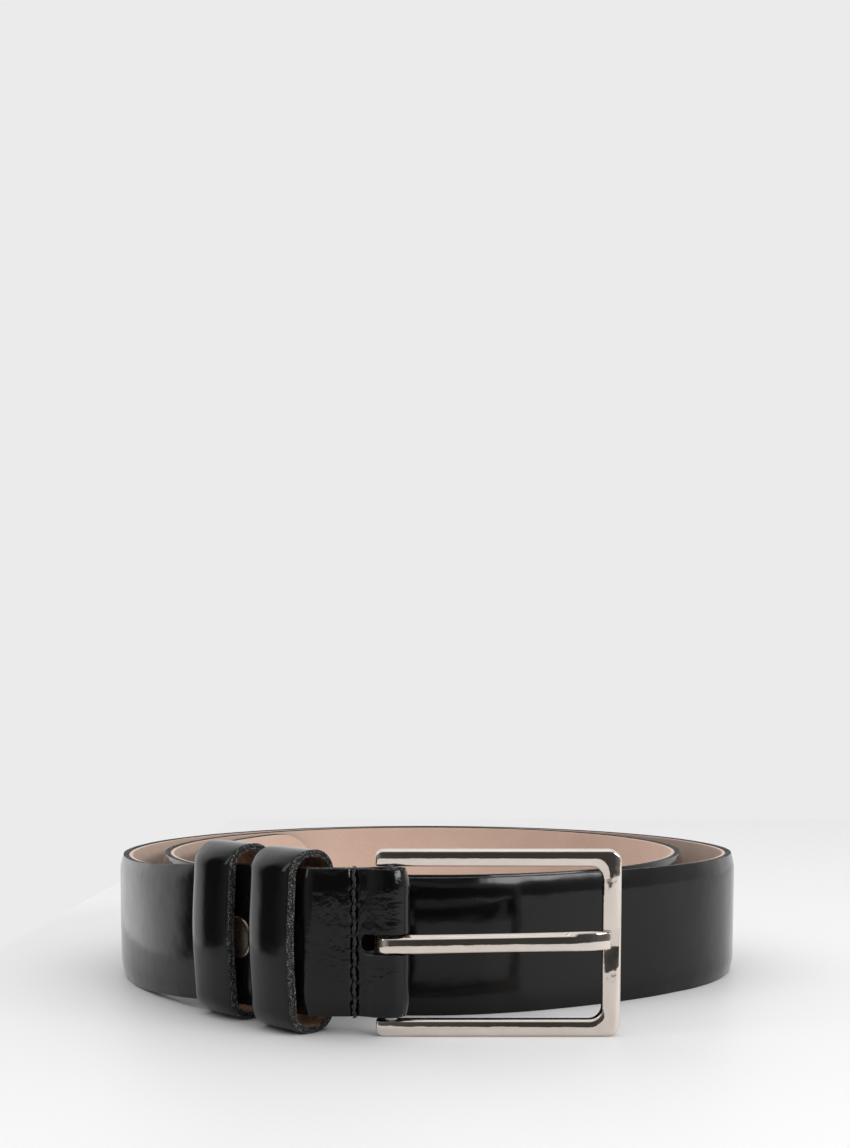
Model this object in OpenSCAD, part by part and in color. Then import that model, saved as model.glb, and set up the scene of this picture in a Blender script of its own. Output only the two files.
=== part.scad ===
// Leather dress belt, rolled into a coil and standing on its lower edge.
// The strap starts at the buckle bar, runs left and winds clockwise, seen from above.
// Across the strap, d is the distance outward from the face between filler board and lining.

/* [Strap] */
// Width of the strap
strap_w = 35; // [28:0.5:42]
// Thickness of the outer leather
shell_t = 1.3; // [1:0.05:1.6]
// Thickness of the filler board in the middle of the strap
core_t = 1.3; // [0.9:0.05:1.6]
// Thickness of the filler board at the strap's edges
core_edge_t = 0.3; // [0.2:0.05:0.6]
// Thickness of the lining leather
lining_t = 1; // [0.7:0.05:1.3]
// Width of the border where the strap thins towards each edge
feather_w = 5; // [3:0.5:8]
// Length of the pointed tip
tip_l = 20; // [12:1:30]

/* [Holes] */
// Number of prong holes
hole_count = 5; // [3:1:6]
// Radius of a prong hole
hole_r = 2.3; // [2:0.1:3]
// Distance between prong holes
hole_pitch = 25; // [20:1:28]
// Distance from the tip to the first prong hole
hole_from_tip = 75; // [60:5:95]

/* [Coil] */
// Size of the coil, as a multiple of its wound size
coil_size = 1; // [0.8:0.05:1.3]
// Straight stretch between the buckle bar and the crease
front_l = 17; // [15:0.5:22]
// Turn of the strap at the crease, in degrees
crease_turn = 45; // [35:1:55]
// Room inside the crease, behind the folded tab
crease_room = 0.5; // [0.3:0.1:2]
// Straight stretch left past the far keeper, before the strap bends into the coil
run_spare = 5.6; // [4.5:0.1:20]

/* [Buckle] */
// Gap between the strap's edges and the arms of the frame
arm_gap = 0.7; // [0.5:0.05:1.5]
// Length of the buckle frame from the arms' ends to the far bar's outer face
frame_l = 57.7; // [45:0.1:70]
// Thickness of the buckle frame
frame_t = 3.4; // [2.6:0.1:4.4]
// Height of each arm of the frame
arm_h = 4; // [3:0.1:5]
// Width of the far bar
far_bar_w = 4.35; // [3.5:0.05:6]
// Outer corner radius of the frame
frame_corner_r = 3; // [1:0.1:5]
// Inner corner radius of the frame's window
window_corner_r = 3; // [1:0.1:4]
// How far the scoop that the prong rests in reaches above and below the prong
notch_margin = 2.6; // [2.5:0.1:4]
// Depth of that scoop
notch_depth = 0.6; // [0.4:0.05:1]
// Radius of the hinge bar
bar_r = 1.7; // [1.4:0.05:2.1]
// Radius of the bar's turned-down ends
spigot_r = 1.1; // [0.8:0.05:1.2]
// Distance from the arms' ends to the middle of the hinge bar
bar_inset = 3.5; // [2.5:0.1:5]
// Depth of each press-fit socket that the bar's ends sit in
bar_socket = 2.6; // [1.5:0.1:2.8]

/* [Prong] */
// How far the prong reaches over the far bar
prong_over = 2.15; // [1.5:0.05:3]
// Height of the prong
prong_h = 4.4; // [3.6:0.1:5]
// Thickness of the prong
prong_t = 2.3; // [1.8:0.1:2.8]
// How far the prong's point stands above its loop
prong_rise = 0.9; // [0:0.1:1.2]

/* [Leather fold] */
// Gap between the hinge bar and the leather round it
bar_gap = 0.3; // [0.2:0.05:0.6]
// Length of the neck where the two plies come together behind the bar
neck_l = 7.5; // [6:0.1:9]
// Gap between the strap and the folded-back tab
ply_gap = 0.1; // [0.05:0.05:0.2]
// Gap above and below the prong in the slot that it works in
slot_gap = 0.3; // [0.2:0.05:0.8]
// Distance from the hinge bar to the closed end of that slot
slot_reach = 6.9; // [6.3:0.1:7.3]
// Distance the folded-back tab runs past the middle of the stud
tab_past_stud = 8; // [6:0.5:10]
// Number of needle holes in the stitched row
stitch_holes = 11; // [7:2:13]
// Radius of the stitching thread
thread_r = 0.45; // [0.3:0.05:0.5]

/* [Stud] */
// Distance along the keepers' stretch to the middle of the stud
stud_at = 24; // [20:0.5:28]
// Radius of the stud's cap
cap_r = 5.2; // [4.4:0.1:6]
// Height of the cap above the leather
cap_h = 0.5; // [0.4:0.05:0.6]
// Radius of the snap's socket and of its ball plate
snap_r = 4.2; // [3.6:0.1:4.8]

/* [Keepers] */
// Width of a keeper along the strap
keeper_w = 15; // [12:0.5:17]
// Gap between the strap's upper edge and the keepers' inner top
keeper_head_room = 2.4; // [1.5:0.1:4]
// Slack between the folded-back tab and the keepers' backs
keeper_slack = 4; // [2:0.1:5]
// Distance along the keepers' stretch to the near keeper
near_at = 0.5; // [0.5:0.1:2]
// Space between the two keepers
keeper_space = 7.9; // [6:0.1:10]
// Gap between the strap's outer face and the keepers
keeper_gap = 0.9; // [0.8:0.05:1.5]
// Thickness of a keeper's outer leather
keeper_shell_t = 1; // [0.8:0.05:1.2]
// Thickness of a keeper's raw lining
keeper_lining_t = 0.7; // [0.5:0.05:0.9]
// Thickness of the padding in the middle of a keeper
pad_t = 0.9; // [0.5:0.05:1.4]
// Outer corner radius of a keeper
keeper_corner_r = 5; // [4:0.5:6]
// Radius of the staple wire
staple_r = 0.4; // [0.3:0.05:0.5]

/* [Hidden] */
$fn = 96;

past = 1;                          // how far a cut runs past the face it opens
out_t = core_t + shell_t;          // from the reference face to the strap's outer face
strap_t = out_t + lining_t;
wound_t = 3.6;                     // strap thickness that the coil's radii were laid out for
fold_r = bar_r + bar_gap;          // inside of the leather fold
crease_r = out_t + ply_gap + crease_room;
frame_h = strap_w + 2 * (arm_gap + arm_h);
buckle_z = frame_h / 2;            // mid-height of the buckle
strap_z = buckle_z - strap_w / 2 + 0.2;   // lower edge of the strap at the buckle
far_at = near_at + keeper_w + keeper_space;
keeper_run_l = far_at + keeper_w + run_spare;
run_end_z = 2.3;                   // lower edge where the keepers' stretch ends
run_slope = atan((strap_z - run_end_z) / keeper_run_l);

// Stretches of the strap after the keepers: radius, turn in degrees, turn number, lower edge.
// The first three let the strap down to the surface it stands on.
coil = [
    [110, 8, 0, 1.7], [110, 8, 0, 1.1], [110, 8, 0, 0.5],
    [82, 41, 0, 0], [88, 71, 0, 0], [94, 54, 0, 0], [85, 27, 0, 0], [59, 54, 0, 0], [135, 25, 0, 0],
    [73, 54, 1, 0], [81, 79, 1, 0], [77, 48, 1, 0], [75, 46, 1, 0], [78, 49, 1, 0], [76, 54, 1, 0],
    [72, 90, 2, 0], [67, 52, 2, 0], [100, 42, 2, 0]
];
leftmost = 3;                      // the bends that hold the coil's extreme points
rearmost = 4;
rightmost = 7;
free_bends = 4;                    // the last bends, which hold the tip and the holes

function bend_r(b) = (b[0] + b[2] * wound_t) * coil_size - b[2] * strap_t;
function polar(r, a) = [r * cos(a), r * sin(a)];
// A place on the strap is [x, y, heading]; the coil always bends to the right.
function bend_centre(p, r) = [p[0], p[1]] + polar(r, p[2] - 90);
function after_straight(p, l) = [p[0] + l * cos(p[2]), p[1] + l * sin(p[2]), p[2]];
function after_bend(p, r, turn) =
    let (q = bend_centre(p, r) + polar(r, p[2] - turn + 90)) [q[0], q[1], p[2] - turn];
function run_start(bar) = after_bend(after_straight([bar[0], bar[1], 180], front_l), crease_r, crease_turn);
function coil_place(bar, i) =
    i == 0 ? after_straight(run_start(bar), keeper_run_l)
           : let (b = coil[i - 1]) after_bend(coil_place(bar, i - 1), bend_r(b), b[1]);
function bend_extreme(i) = bend_centre(coil_place([0, 0], i), bend_r(coil[i]));
function bend_reach(i) = bend_r(coil[i]) + out_t;

// The origin is on the surface below the middle of the whole belt.
bar_x = -(bend_extreme(leftmost)[0] - bend_reach(leftmost)
        + bend_extreme(rightmost)[0] + bend_reach(rightmost)) / 2;
bar_y = -(bend_extreme(rearmost)[1] + bend_reach(rearmost) - fold_r - out_t) / 2;
bar = [bar_x, bar_y];
crease = after_straight([bar_x, bar_y, 180], front_l);
run = run_start(bar);
tip = coil_place(bar, len(coil));
tip_bend = coil[len(coil) - 1];

// Cross-sections of the strap, in d and z

// A stretch sets $narrow, which narrows a section that is laid along a slope, and $inset, which
// draws its faces in by a hair. Every other stretch is drawn in and runs a little way into its
// neighbours, so that the stretches join into one solid.
hair = 0.03;
overlap = 0.2;
$narrow = 1;
$inset = 0;

// Outer limit of the filler board, from the strap's edge (0) to the end of the thinned border (1)
function shoulder(u) = core_edge_t + (core_t - core_edge_t) * sin(90 * u);
function low_border() = [for (u = [0, 0.5, 1]) [shoulder(u), max($inset, u * feather_w * $narrow)]];
function high_border() = [
    for (u = [1, 0.5, 0]) [shoulder(u), min(strap_w * $narrow - $inset, (strap_w - u * feather_w) * $narrow)]
];
function shifted(points, d) = [for (p = points) [p[0] + d, p[1]]];
function reversed(points) = [for (i = [len(points) - 1 : -1 : 0]) points[i]];

module shell_section() {
    face = concat(low_border(), high_border());
    polygon(concat(shifted(face, shell_t - $inset), reversed(shifted(face, $inset))));
}

module core_section() {
    face = shifted(concat(low_border(), high_border()), -$inset);
    polygon(concat([[$inset, $inset]], face, [[$inset, strap_w * $narrow - $inset]]));
}

module lining_section() {
    translate([$inset - lining_t, $inset])
        square([lining_t - 2 * $inset, strap_w * $narrow - 2 * $inset]);
}

module tab_section() translate([-ply_gap, 0]) mirror([1, 0]) children();

// Stretches of the strap, which carry a section along

module bend_right(p, r, turn, z, thin = false) {
    $inset = thin ? hair : 0;
    spare = thin ? overlap / r * 180 / PI : 0;
    translate(concat(bend_centre(p, r), z)) rotate(p[2] + 90 - turn - spare)
        rotate_extrude(angle = turn + 2 * spare) translate([r, 0]) children();
}

module bend_left(p, r, turn, z) {
    translate(concat([p[0], p[1]] + polar(r, p[2] + 90), z)) rotate(p[2] - 90)
        rotate_extrude(angle = turn) translate([r, 0]) mirror([1, 0]) children();
}

module thin_straight(p, l, z) {
    $inset = hair;
    start = after_straight(p, -overlap);
    translate([start[0], start[1], z]) rotate([90, 0, p[2] + 90]) linear_extrude(l + 2 * overlap) children();
}

// Local frame of the keepers' stretch: X along the strap, Y outward, Z up
module on_run(along = 0) {
    p = after_straight(run, along);
    translate([p[0], p[1], 0]) rotate(p[2]) children();
}

// The keepers' stretch slopes down; its ends are cut upright
module thin_slope(from, to) {
    $narrow = cos(run_slope);
    $inset = hair;
    intersection() {
        on_run() translate([0, 0, strap_z]) rotate([0, run_slope, 0]) translate([-strap_w, 0, 0])
            rotate([90, 0, 90]) linear_extrude(keeper_run_l + 2 * strap_w) children();
        on_run(from) translate([0, -2 * strap_t, -strap_w])
            cube([to - from, 4 * strap_t, 3 * strap_w]);
    }
}

// The S-shaped neck that brings a ply from the fold down to the strap's line, on the outer side
module neck(drop) {
    neck_turn = 2 * atan(drop / neck_l);
    neck_r = neck_l / (2 * sin(neck_turn));
    start = [bar_x, bar_y - fold_r, 180];
    middle = after_bend(start, neck_r, neck_turn);
    bend_right(start, neck_r, neck_turn, strap_z, thin = true) children();
    bend_left(middle, neck_r, neck_turn, strap_z) children();
}

module fold() bend_right([bar_x, bar_y + fold_r, 0], fold_r, 180, strap_z) children();

module other_side_of_bar() translate([0, bar_y, 0]) mirror([0, 1, 0]) translate([0, -bar_y, 0]) children();

tab_end = stud_at + tab_past_stud;
lining_start = 0.5;                // the lining begins this far past the end of the tab
neck_end = after_straight([bar_x, bar_y, 180], neck_l);

module strap_front() {
    neck(fold_r) children();
    thin_straight(neck_end, front_l - neck_l, strap_z) children();
    bend_right(crease, crease_r, crease_turn, strap_z) children();
    thin_slope(-overlap, keeper_run_l + overlap) children();
}

module strap_tab() {
    other_side_of_bar() neck(fold_r - ply_gap) children();
    thin_straight(neck_end, front_l - neck_l, strap_z) tab_section() children();
    bend_right(crease, crease_r, crease_turn, strap_z) tab_section() children();
    thin_slope(-overlap, tab_end) tab_section() children();
}

module coil_bend(i)
    bend_right(coil_place(bar, i), bend_r(coil[i]), coil[i][1], coil[i][3], thin = i % 2 == 1) children();

// The last bends hold the pointed tip and the prong holes
module strap_coil() {
    for (i = [0 : len(coil) - free_bends - 1]) coil_bend(i) children();
    difference() {
        for (i = [len(coil) - free_bends : len(coil) - 1]) coil_bend(i) children();
        tip_waste();
        prong_holes();
    }
}

// What is cut out of the strap

// What is left outside the pointed tip, in distance from the tip and z
module tip_waste_outline() {
    arch_r = (tip_l * tip_l + strap_w * strap_w / 4) / strap_w;
    difference() {
        translate([-tip_l, -past]) square([tip_l + past, strap_w + 2 * past]);
        intersection() {
            translate([-tip_l, arch_r]) circle(arch_r);
            translate([-tip_l, strap_w - arch_r]) circle(arch_r);
        }
    }
}

module tip_waste() {
    half_turn = tip_l / bend_r(tip_bend) * 90 / PI;
    translate([tip[0], tip[1], 0]) rotate(tip[2] + half_turn)
        rotate([90, 0, 0]) translate([0, 0, -2 * strap_t]) linear_extrude(4 * strap_t) tip_waste_outline();
}

// Place on the strap at a distance l before the end of bend i
function bend_length(i) = bend_r(coil[i]) * coil[i][1] * PI / 180;
function place_back(l, i) =
    l > bend_length(i) ? place_back(l - bend_length(i), i - 1)
        : after_bend(coil_place(bar, i), bend_r(coil[i]), coil[i][1] - l / bend_r(coil[i]) * 180 / PI);

module prong_holes() {
    for (i = [0 : hole_count - 1]) {
        p = place_back(hole_from_tip + i * hole_pitch, len(coil) - 1);
        translate([p[0], p[1], strap_w / 2]) rotate([90, 0, p[2]])
            cylinder(r = hole_r, h = 4 * strap_t, center = true);
    }
}

slot_h = prong_h + 2 * slot_gap;
module prong_slot() {
    translate([bar_x - slot_reach, bar_y - 2 * fold_r - out_t, buckle_z - slot_h / 2])
        cube([slot_reach + 2 * fold_r + out_t, 4 * fold_r + 2 * out_t, slot_h]);
}

stitch_x = bar_x - neck_l - 1;     // the stitched row stands just behind the neck
stitch_pitch = (strap_w - 4) / (stitch_holes - 1);
function stitch_z(i) = strap_z + strap_w / 2 + (i - (stitch_holes - 1) / 2) * stitch_pitch;
thread_out = out_t + ply_gap + thread_r + 0.05;     // middle of a thread lying on the leather
needle_r = thread_r + 0.15;

module needle_holes() {
    for (i = [0 : stitch_holes - 1]) translate([stitch_x, bar_y, stitch_z(i)])
        rotate([90, 0, 0]) cylinder(r = needle_r, h = 4 * strap_t, center = true);
}

// Local frame of the stud: Z outward, origin on the reference face
stud_z = strap_z + strap_w / 2 - stud_at * tan(run_slope);
module at_stud() on_run(stud_at) translate([0, 0, stud_z]) rotate([-90, 0, 0]) children();

barrel_r = 1.6;                    // the cap's rivet barrel
post_r = 1.2;                      // the post's shank
ball_r = 1.8;                      // the snap's ball
fit = 0.1;                         // clearance between the stud's pieces and the leather

module stud_shell_holes() {
    at_stud() {
        cylinder(r = barrel_r + fit, h = 2 * out_t);
        mirror([0, 0, 1]) cylinder(r = post_r + fit, h = 2 * out_t);
    }
}

module stud_core_holes() at_stud() cylinder(r = snap_r + 2 * fit, h = 2 * (core_t + fit), center = true);

// The strap

module strap_shell() {
    color([0.05, 0.05, 0.055]) difference() {
        union() {
            fold() shell_section();
            strap_front() shell_section();
            strap_tab() shell_section();
            strap_coil() shell_section();
        }
        prong_slot();
        needle_holes();
        stud_shell_holes();
    }
}

module strap_core() {
    color([0.45, 0.3, 0.2]) difference() {
        union() {
            fold() core_section();
            strap_front() core_section();
            strap_tab() core_section();
            strap_coil() core_section();
        }
        prong_slot();
        needle_holes();
        stud_core_holes();
    }
}

module strap_lining() {
    color([0.78, 0.6, 0.5]) {
        thin_slope(tab_end + lining_start, keeper_run_l + overlap) lining_section();
        strap_coil() lining_section();
    }
}

module fold_stitches() {
    color([0.08, 0.08, 0.08]) for (i = [0 : stitch_holes - 1]) translate([stitch_x, bar_y, stitch_z(i)]) {
        rotate([90, 0, 0]) cylinder(r = thread_r, h = 2 * thread_out, center = true, $fn = 24);
        for (side = [-1, 1]) translate([0, side * thread_out, 0]) {
            sphere(r = thread_r, $fn = 24);
            if (i < stitch_holes - 1) cylinder(r = thread_r, h = stitch_pitch, $fn = 24);
        }
    }
}

// The buckle

far_bar = frame_l - bar_inset - far_bar_w;        // distance from the hinge bar to the far bar

// Window of the frame, open on the arms' side, in distance from the bar and z
module window_outline() {
    window_h = frame_h - 2 * arm_h;
    for (z = [arm_h + window_corner_r, frame_h - arm_h - window_corner_r])
        translate([far_bar - window_corner_r, z]) circle(window_corner_r);
    translate([-bar_inset - past, arm_h]) square([far_bar + bar_inset + past - window_corner_r, window_h]);
    translate([0, arm_h + window_corner_r]) square([far_bar, window_h - 2 * window_corner_r]);
}

module frame_outline() {
    far = frame_l - bar_inset;
    for (z = [frame_corner_r, frame_h - frame_corner_r])
        translate([far - frame_corner_r, z]) circle(frame_corner_r);
    translate([-bar_inset, 0]) square([frame_l - frame_corner_r, frame_h]);
    translate([0, frame_corner_r]) square([far, frame_h - 2 * frame_corner_r]);
}

module buckle_frame() {
    notch_h = prong_h + 2 * notch_margin;
    notch_r = (notch_h * notch_h / 4 + notch_depth * notch_depth) / (2 * notch_depth);
    color([0.82, 0.79, 0.75]) difference() {
        translate([bar_x, bar_y + frame_t / 2, 0]) rotate([90, 0, 0]) linear_extrude(frame_t) difference() {
            frame_outline();
            window_outline();
        }
        translate([bar_x + prong_l / 2, bar_y - frame_t / 2 + notch_depth - notch_r, buckle_z])
            rotate([0, 90, 0]) cylinder(r = notch_r, h = prong_l, $fn = 180);
        bar_ends();
    }
}

module bar_ends() translate([bar_x, bar_y, arm_h - bar_socket])
    cylinder(r = spigot_r, h = frame_h - 2 * (arm_h - bar_socket));

module buckle_bar() {
    color([0.6, 0.6, 0.62]) {
        bar_ends();
        translate([bar_x, bar_y, arm_h + 0.1]) cylinder(r = bar_r, h = frame_h - 2 * (arm_h + 0.1));
    }
}

prong_l = far_bar + prong_over;

module prong() {
    bore_r = bar_r + 0.05;
    loop_r = bore_r + prong_t;
    back = frame_t / 2 - notch_depth / 2;      // back of the prong where it crosses the far bar
    color([0.82, 0.79, 0.75]) translate([bar_x, bar_y, buckle_z]) difference() {
        intersection() {
            // seen from above
            translate([0, 0, -prong_h]) linear_extrude(2 * prong_h) {
                circle(loop_r);
                polygon([
                    [0, -loop_r], [far_bar, -back - prong_t], [prong_l, -back - 0.6 * prong_t],
                    [prong_l, -back], [far_bar, -back], [0, -bore_r]
                ]);
            }
            // seen from the front
            rotate([90, 0, 0]) translate([0, 0, -2 * loop_r]) linear_extrude(4 * loop_r) polygon([
                [-loop_r - past, -prong_h / 2], [loop_r, -prong_h / 2],
                [prong_l, prong_rise - prong_h / 2], [prong_l + past, prong_rise + prong_h / 2],
                [prong_l, prong_rise + prong_h / 2], [loop_r, prong_h / 2], [-loop_r - past, prong_h / 2]
            ]);
        }
        cylinder(r = bore_r, h = 2 * prong_h, center = true);
    }
}

// The snap stud between the keepers

module stud_cap() {
    dome_r = (cap_r * cap_r + cap_h * cap_h) / (2 * cap_h);
    color([0.42, 0.38, 0.34]) at_stud() {
        intersection() {
            translate([0, 0, out_t + 0.02]) cylinder(r = cap_r, h = cap_h);
            translate([0, 0, out_t + cap_h - dome_r]) sphere(r = dome_r, $fn = 360);
        }
        translate([0, 0, core_t / 2]) cylinder(r = barrel_r, h = out_t - core_t / 2 + cap_h / 2);
    }
}

module stud_socket() {
    color([0.5, 0.48, 0.44]) at_stud() difference() {
        translate([0, 0, fit / 2]) cylinder(r = snap_r, h = core_t - fit);
        translate([0, 0, -past]) cylinder(r = ball_r + fit, h = past + core_t / 2 - fit);
        cylinder(r = barrel_r + fit / 2, h = 2 * core_t);
    }
}

module stud_ball() {
    color([0.5, 0.48, 0.44]) at_stud() difference() {
        union() {
            translate([0, 0, -ply_gap - core_t / 2]) cylinder(r = snap_r, h = core_t / 2);
            translate([0, 0, -ply_gap - fit]) cylinder(r = ball_r, h = ply_gap + fit + core_t / 2 - 2 * fit);
        }
        translate([0, 0, -out_t]) cylinder(r = post_r + fit / 2, h = out_t);
    }
}

module stud_post() {
    head_t = 0.5;
    color([0.5, 0.48, 0.44]) at_stud() {
        translate([0, 0, -ply_gap - out_t - head_t - fit / 2]) cylinder(r = 0.8 * snap_r, h = head_t);
        translate([0, 0, -ply_gap - out_t - head_t / 2]) cylinder(r = post_r, h = out_t + head_t / 2);
    }
}

// The keepers

keeper_front = out_t + keeper_gap;                 // inner face of a keeper, in front of the strap
wall_t = keeper_shell_t + keeper_lining_t;
keeper_crown = keeper_front + wall_t + pad_t;
keeper_back = -ply_gap - out_t - keeper_slack - wall_t;
keeper_h = strap_z + strap_w + keeper_head_room + wall_t;

// Rounded outline of a keeper in d and z, drawn in by a margin; front is its foremost d
module keeper_outline(margin, front) {
    r = keeper_corner_r - margin;
    for (d = [keeper_back + keeper_corner_r, front - r], z = [keeper_corner_r, keeper_h - keeper_corner_r])
        translate([d, z]) circle(r);
    translate([keeper_back + keeper_corner_r, margin])
        square([front - r - keeper_back - keeper_corner_r, keeper_h - 2 * margin]);
    translate([keeper_back + margin, keeper_corner_r])
        square([front - keeper_back - margin, keeper_h - 2 * keeper_corner_r]);
}

module along_strap(from, w) translate([from, 0, 0]) rotate([90, 0, 90]) linear_extrude(w) children();

// Upright drum that gives the padded face its crown: flat d at the rims, rise more in the middle
module crown_drum(flat, rise) {
    half = keeper_w / 2;
    r = (half * half + rise * rise) / (2 * rise);
    translate([half, flat + rise - r, -past]) cylinder(r = r, h = keeper_h + 2 * past, $fn = 360);
}

joint_gap = 0.4;                   // the two ends of the keeper's strip meet at the back
module back_joint() translate([-past, keeper_back - past, keeper_h / 2 - joint_gap / 2])
    cube([keeper_w + 2 * past, wall_t + 2 * past, joint_gap]);

staple_half = 4;                   // half the length of the staple's crown
staple_d = keeper_back - 0.05 - staple_r;
module staple_legs(r) {
    for (side = [-1, 1]) translate([keeper_w / 2, staple_d, keeper_h / 2 + side * staple_half])
        rotate([-90, 0, 0]) cylinder(r = r, h = wall_t + staple_r + 0.4, $fn = 24);
}

module keeper_shell() {
    color([0.05, 0.05, 0.055]) difference() {
        intersection() {
            along_strap(0, keeper_w) keeper_outline(0, keeper_crown);
            crown_drum(keeper_front + wall_t, pad_t);
        }
        intersection() {
            along_strap(-past, keeper_w + 2 * past)
                keeper_outline(keeper_shell_t, keeper_crown - keeper_shell_t);
            crown_drum(keeper_front + keeper_lining_t + 0.05, pad_t - 0.05);
        }
        back_joint();
        staple_legs(staple_r + fit);
    }
}

module keeper_pad() {
    rim = 1;
    color([0.75, 0.7, 0.6]) intersection() {
        along_strap(rim, keeper_w - 2 * rim) translate([keeper_front + keeper_lining_t, keeper_corner_r])
            square([pad_t, keeper_h - 2 * keeper_corner_r]);
        crown_drum(keeper_front + keeper_lining_t, pad_t - 0.05);
    }
}

module keeper_lining() {
    color([0.76, 0.55, 0.33]) difference() {
        along_strap(0, keeper_w) difference() {
            keeper_outline(keeper_shell_t, keeper_front + keeper_lining_t);
            keeper_outline(wall_t, keeper_front);
        }
        back_joint();
        staple_legs(staple_r + fit);
    }
}

module keeper_staple() {
    color([0.7, 0.7, 0.72]) {
        staple_legs(staple_r);
        translate([keeper_w / 2, staple_d, keeper_h / 2 - staple_half]) {
            cylinder(r = staple_r, h = 2 * staple_half, $fn = 24);
            for (z = [0, 2 * staple_half]) translate([0, 0, z]) sphere(r = staple_r, $fn = 24);
        }
    }
}

module keeper_near_shell() on_run(near_at) keeper_shell();
module keeper_near_pad() on_run(near_at) keeper_pad();
module keeper_near_lining() on_run(near_at) keeper_lining();
module keeper_near_staple() on_run(near_at) keeper_staple();
module keeper_far_shell() on_run(far_at) keeper_shell();
module keeper_far_pad() on_run(far_at) keeper_pad();
module keeper_far_lining() on_run(far_at) keeper_lining();
module keeper_far_staple() on_run(far_at) keeper_staple();

strap_shell();
strap_core();
strap_lining();
fold_stitches();
buckle_frame();
buckle_bar();
prong();
stud_cap();
stud_socket();
stud_ball();
stud_post();
keeper_near_shell();
keeper_near_pad();
keeper_near_lining();
keeper_near_staple();
keeper_far_shell();
keeper_far_pad();
keeper_far_lining();
keeper_far_staple();
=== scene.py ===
import math
from bisect import bisect_right
import bmesh
import bpy
from mathutils import Matrix, Vector, noise


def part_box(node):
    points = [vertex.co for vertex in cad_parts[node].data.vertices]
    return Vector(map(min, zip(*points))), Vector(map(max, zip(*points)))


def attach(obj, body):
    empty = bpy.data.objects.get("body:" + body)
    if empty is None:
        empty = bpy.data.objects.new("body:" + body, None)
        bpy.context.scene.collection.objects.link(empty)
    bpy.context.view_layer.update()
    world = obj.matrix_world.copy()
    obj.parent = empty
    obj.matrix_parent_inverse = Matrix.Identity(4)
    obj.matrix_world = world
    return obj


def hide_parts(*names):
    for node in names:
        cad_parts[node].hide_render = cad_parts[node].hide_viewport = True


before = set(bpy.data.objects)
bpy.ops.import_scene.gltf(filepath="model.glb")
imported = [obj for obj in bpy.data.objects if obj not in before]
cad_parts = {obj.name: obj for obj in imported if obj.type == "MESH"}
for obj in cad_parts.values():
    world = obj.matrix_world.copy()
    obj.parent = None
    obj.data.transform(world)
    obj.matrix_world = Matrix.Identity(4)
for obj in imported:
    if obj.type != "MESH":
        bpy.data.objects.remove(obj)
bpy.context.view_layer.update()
mm = 0.001


def linearColour(hexText, alpha=1.0):
    # sRGB hex to the linear values that a shader wants
    channels = [int(hexText[i:i + 2], 16) / 255 for i in (0, 2, 4)]
    return [c / 12.92 if c <= 0.04045 else ((c + 0.055) / 1.055) ** 2.4 for c in channels] + [alpha]


def addNode(tree, kind, inputs=None, **settings):
    # a value goes into its socket, a socket is linked to it
    node = tree.nodes.new(kind)
    for name, value in settings.items():
        setattr(node, name, value)
    for socket, value in (inputs or {}).items():
        if isinstance(value, bpy.types.NodeSocket):
            tree.links.new(value, node.inputs[socket])
        else:
            node.inputs[socket].default_value = value
    return node


def newMaterial(name, uvMap=None):
    # a material, its empty tree, and the piece's own coordinates in millimetres
    material = bpy.data.materials.new(name)
    material.use_nodes = True
    tree = material.node_tree
    tree.nodes.clear()
    if uvMap:
        place = addNode(tree, "ShaderNodeUVMap", uv_map=uvMap).outputs["UV"]
    else:
        place = addNode(tree, "ShaderNodeTexCoord").outputs["Object"]
    inMm = addNode(tree, "ShaderNodeVectorMath", {0: place, 1: (1000, 1000, 1000)}, operation="MULTIPLY")
    return material, tree, inMm.outputs[0]


# the camera, and the pale room that the black leather mirrors
room = {
    "lens": 59.29,              # millimetres on a 36 mm wide sensor
    "cameraAt": (-0.0010, -0.4189, 0.0758),
    "pitch": 4.5,               # degrees below the horizon
    "shift": 0.2953,
    "floor": "f2f2f3",
    "sky": "ebebeb",
    # half the brightness of the room round the belt, by azimuth in turns from the camera by way of the left
    "walls": [(0.0, 0.03), (0.06, 0.05), (0.15, 0.25), (0.225, 0.05), (0.28, 0.03), (0.30, 0.7),
              (0.37, 0.95), (0.45, 0.5), (0.56, 0.5), (0.64, 0.7), (0.72, 0.5), (0.86, 0.16),
              (0.94, 0.04), (1.0, 0.03)],
    "overhead": 0.585,              # half the brightness overhead
    "overheadFrom": (0.45, 0.75),   # sine of the elevation where the walls fade and where overhead begins
    "doubled": 2.0,                 # makes the halves whole again
    "board": (-0.14, 0.6, -0.33, 0.6),      # left, right, front and back of the board, metres
    # where each lamp hangs, its width and height, watts
    "lamps": {
        "topBox": ((0.05, 0.05, 0.80), 0.5, 0.4, 0.3),
        "frontStrip": ((0.60, -0.52, 0.38), 0.60, 0.13, 2.8),
        "leftStrip": ((-0.55, -0.30, 0.40), 0.10, 0.40, 0.35),
    },
    "aim": (0, 0, 0.02),
}


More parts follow.
